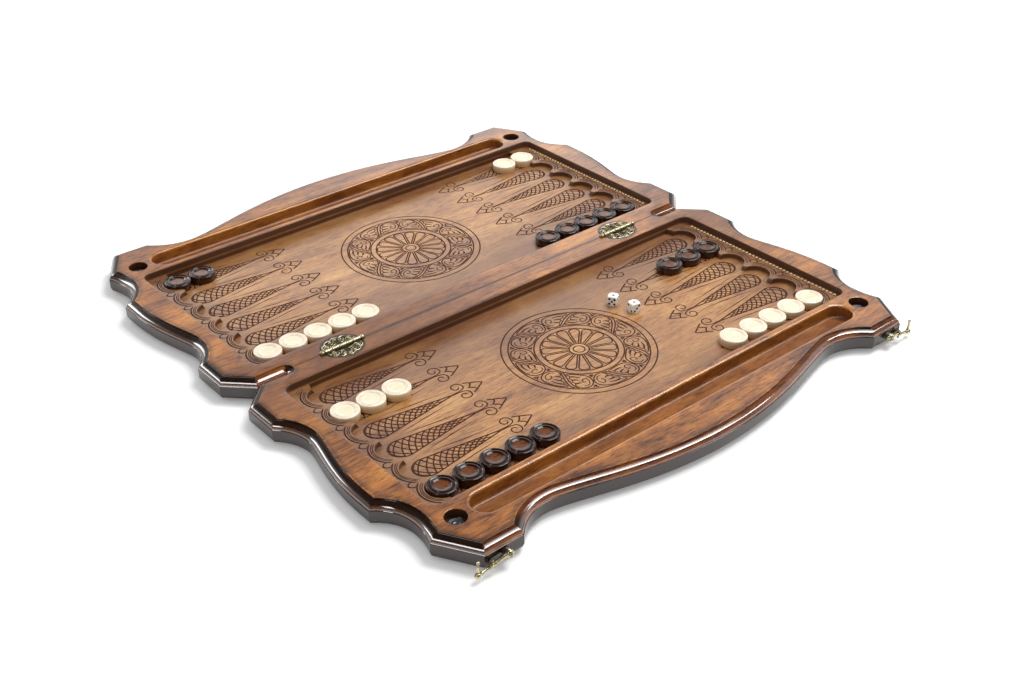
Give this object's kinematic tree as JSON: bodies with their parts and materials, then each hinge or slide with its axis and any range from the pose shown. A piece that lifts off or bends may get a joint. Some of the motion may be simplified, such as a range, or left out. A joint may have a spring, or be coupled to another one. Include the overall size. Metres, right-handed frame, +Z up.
{
  "type": "backgammon board",
  "caption": "Folding carved wooden backgammon board with scalloped moulded edges, brass hinges and hook clasps, sunk playing fields, troughs, round checkers and dice.",
  "frame": {"origin": "on the table under the middle of the hinge line, board lying open", "axes": "+X along the hinge line, +Y from the near leaf to the far leaf, +Z up out of the playing fields"},
  "size_m": [0.587, 0.64, 0.0273],
  "materials": {
    "leaf_wood": "stained hardwood, gloss lacquer, carved lines burnt dark",
    "light_wood": "pale turned wood, satin",
    "dark_wood": "dark stained turned wood, gloss lacquer",
    "hinge_brass": "stamped antique brass",
    "clasp_brass": "cast antique brass",
    "screw_brass": "dark brass",
    "disc_steel": "bright steel",
    "die_white": "white, black pips"
  },
  "bodies": {
    "near_leaf": {"near_leaf": "leaf_wood", "left_hinge_near_plate": "hinge_brass", "right_hinge_near_plate": "hinge_brass", "left_hinge_pin": "hinge_brass", "right_hinge_pin": "hinge_brass", "hinge_screws_near": "screw_brass", "left_clasp_screw": "clasp_brass", "right_clasp_screw": "clasp_brass", "left_clasp_spacer": "screw_brass", "right_clasp_spacer": "screw_brass", "near_left_well_disc": "disc_steel", "near_right_well_disc": "disc_steel"},
    "far_leaf": {"far_leaf": "leaf_wood", "left_hinge_far_plate": "hinge_brass", "right_hinge_far_plate": "hinge_brass", "hinge_screws_far": "screw_brass", "left_catch_stud": "clasp_brass", "right_catch_stud": "clasp_brass", "far_left_well_disc": "disc_steel", "far_right_well_disc": "disc_steel"},
    "left_hook": {"left_clasp_hook": "clasp_brass"},
    "right_hook": {"right_clasp_hook": "clasp_brass"},
    "light_checker_01": {"light_checker_01": "light_wood"},
    "light_checker_02": {"light_checker_02": "light_wood"},
    "light_checker_03": {"light_checker_03": "light_wood"},
    "light_checker_04": {"light_checker_04": "light_wood"},
    "light_checker_05": {"light_checker_05": "light_wood"},
    "light_checker_06": {"light_checker_06": "light_wood"},
    "light_checker_07": {"light_checker_07": "light_wood"},
    "dark_checker_01": {"dark_checker_01": "dark_wood"},
    "dark_checker_02": {"dark_checker_02": "dark_wood"},
    "dark_checker_03": {"dark_checker_03": "dark_wood"},
    "dark_checker_04": {"dark_checker_04": "dark_wood"},
    "dark_checker_05": {"dark_checker_05": "dark_wood"},
    "dark_checker_06": {"dark_checker_06": "dark_wood"},
    "dark_checker_07": {"dark_checker_07": "dark_wood"},
    "light_checker_08": {"light_checker_08": "light_wood"},
    "light_checker_09": {"light_checker_09": "light_wood"},
    "light_checker_10": {"light_checker_10": "light_wood"},
    "light_checker_11": {"light_checker_11": "light_wood"},
    "light_checker_12": {"light_checker_12": "light_wood"},
    "light_checker_13": {"light_checker_13": "light_wood"},
    "light_checker_14": {"light_checker_14": "light_wood"},
    "light_checker_15": {"light_checker_15": "light_wood"},
    "dark_checker_08": {"dark_checker_08": "dark_wood"},
    "dark_checker_09": {"dark_checker_09": "dark_wood"},
    "dark_checker_10": {"dark_checker_10": "dark_wood"},
    "dark_checker_11": {"dark_checker_11": "dark_wood"},
    "dark_checker_12": {"dark_checker_12": "dark_wood"},
    "dark_checker_13": {"dark_checker_13": "dark_wood"},
    "dark_checker_14": {"dark_checker_14": "dark_wood"},
    "dark_checker_15": {"dark_checker_15": "dark_wood"},
    "die_1": {"die_1": "die_white"},
    "die_2": {"die_2": "die_white"}
  },
  "joints": [
    {"name": "leaf_fold", "type": "hinge", "parent": "near_leaf", "child": "far_leaf", "pos_m": [0, 0, 0.0248], "axis": [1, 0, 0], "range_deg": [0, 180]},
    {"name": "left_hook_swing", "type": "hinge", "parent": "near_leaf", "child": "left_hook", "pos_m": [-0.23725, -0.3065, 0.012], "axis": [0, 1, 0], "range_deg": [-5, 101]},
    {"name": "right_hook_swing", "type": "hinge", "parent": "near_leaf", "child": "right_hook", "pos_m": [0.23725, -0.3065, 0.012], "axis": [0, -1, 0], "range_deg": [-5, 101]},
    {"name": "light_checker_01_lift", "type": "slide", "parent": "far_leaf", "child": "light_checker_01", "axis": [0, 0, -1], "range_m": [-0.04, 0]},
    {"name": "light_checker_02_lift", "type": "slide", "parent": "far_leaf", "child": "light_checker_02", "axis": [0, 0, -1], "range_m": [-0.04, 0]},
    {"name": "light_checker_03_lift", "type": "slide", "parent": "far_leaf", "child": "light_checker_03", "axis": [0, 0, -1], "range_m": [-0.04, 0]},
    {"name": "light_checker_04_lift", "type": "slide", "parent": "far_leaf", "child": "light_checker_04", "axis": [0, 0, -1], "range_m": [-0.04, 0]},
    {"name": "light_checker_05_lift", "type": "slide", "parent": "far_leaf", "child": "light_checker_05", "axis": [0, 0, -1], "range_m": [-0.04, 0]},
    {"name": "light_checker_06_lift", "type": "slide", "parent": "far_leaf", "child": "light_checker_06", "axis": [0, 0, -1], "range_m": [-0.04, 0]},
    {"name": "light_checker_07_lift", "type": "slide", "parent": "far_leaf", "child": "light_checker_07", "axis": [0, 0, -1], "range_m": [-0.04, 0]},
    {"name": "dark_checker_01_lift", "type": "slide", "parent": "far_leaf", "child": "dark_checker_01", "axis": [0, 0, -1], "range_m": [-0.04, 0]},
    {"name": "dark_checker_02_lift", "type": "slide", "parent": "far_leaf", "child": "dark_checker_02", "axis": [0, 0, -1], "range_m": [-0.04, 0]},
    {"name": "dark_checker_03_lift", "type": "slide", "parent": "far_leaf", "child": "dark_checker_03", "axis": [0, 0, -1], "range_m": [-0.04, 0]},
    {"name": "dark_checker_04_lift", "type": "slide", "parent": "far_leaf", "child": "dark_checker_04", "axis": [0, 0, -1], "range_m": [-0.04, 0]},
    {"name": "dark_checker_05_lift", "type": "slide", "parent": "far_leaf", "child": "dark_checker_05", "axis": [0, 0, -1], "range_m": [-0.04, 0]},
    {"name": "dark_checker_06_lift", "type": "slide", "parent": "far_leaf", "child": "dark_checker_06", "axis": [0, 0, -1], "range_m": [-0.04, 0]},
    {"name": "dark_checker_07_lift", "type": "slide", "parent": "far_leaf", "child": "dark_checker_07", "axis": [0, 0, -1], "range_m": [-0.04, 0]},
    {"name": "light_checker_08_lift", "type": "slide", "parent": "near_leaf", "child": "light_checker_08", "axis": [0, 0, -1], "range_m": [-0.04, 0]},
    {"name": "light_checker_09_lift", "type": "slide", "parent": "near_leaf", "child": "light_checker_09", "axis": [0, 0, -1], "range_m": [-0.04, 0]},
    {"name": "light_checker_10_lift", "type": "slide", "parent": "near_leaf", "child": "light_checker_10", "axis": [0, 0, -1], "range_m": [-0.04, 0]},
    {"name": "light_checker_11_lift", "type": "slide", "parent": "near_leaf", "child": "light_checker_11", "axis": [0, 0, -1], "range_m": [-0.04, 0]},
    {"name": "light_checker_12_lift", "type": "slide", "parent": "near_leaf", "child": "light_checker_12", "axis": [0, 0, -1], "range_m": [-0.04, 0]},
    {"name": "light_checker_13_lift", "type": "slide", "parent": "near_leaf", "child": "light_checker_13", "axis": [0, 0, -1], "range_m": [-0.04, 0]},
    {"name": "light_checker_14_lift", "type": "slide", "parent": "near_leaf", "child": "light_checker_14", "axis": [0, 0, -1], "range_m": [-0.04, 0]},
    {"name": "light_checker_15_lift", "type": "slide", "parent": "near_leaf", "child": "light_checker_15", "axis": [0, 0, -1], "range_m": [-0.04, 0]},
    {"name": "dark_checker_08_lift", "type": "slide", "parent": "near_leaf", "child": "dark_checker_08", "axis": [0, 0, -1], "range_m": [-0.04, 0]},
    {"name": "dark_checker_09_lift", "type": "slide", "parent": "near_leaf", "child": "dark_checker_09", "axis": [0, 0, -1], "range_m": [-0.04, 0]},
    {"name": "dark_checker_10_lift", "type": "slide", "parent": "near_leaf", "child": "dark_checker_10", "axis": [0, 0, -1], "range_m": [-0.04, 0]},
    {"name": "dark_checker_11_lift", "type": "slide", "parent": "near_leaf", "child": "dark_checker_11", "axis": [0, 0, -1], "range_m": [-0.04, 0]},
    {"name": "dark_checker_12_lift", "type": "slide", "parent": "near_leaf", "child": "dark_checker_12", "axis": [0, 0, -1], "range_m": [-0.04, 0]},
    {"name": "dark_checker_13_lift", "type": "slide", "parent": "near_leaf", "child": "dark_checker_13", "axis": [0, 0, -1], "range_m": [-0.04, 0]},
    {"name": "dark_checker_14_lift", "type": "slide", "parent": "near_leaf", "child": "dark_checker_14", "axis": [0, 0, -1], "range_m": [-0.04, 0]},
    {"name": "dark_checker_15_lift", "type": "slide", "parent": "near_leaf", "child": "dark_checker_15", "axis": [0, 0, -1], "range_m": [-0.04, 0]},
    {"name": "die_1_lift", "type": "slide", "parent": "near_leaf", "child": "die_1", "axis": [0, 0, -1], "range_m": [-0.04, 0]},
    {"name": "die_2_lift", "type": "slide", "parent": "near_leaf", "child": "die_2", "axis": [0, 0, -1], "range_m": [-0.04, 0]}
  ]
}
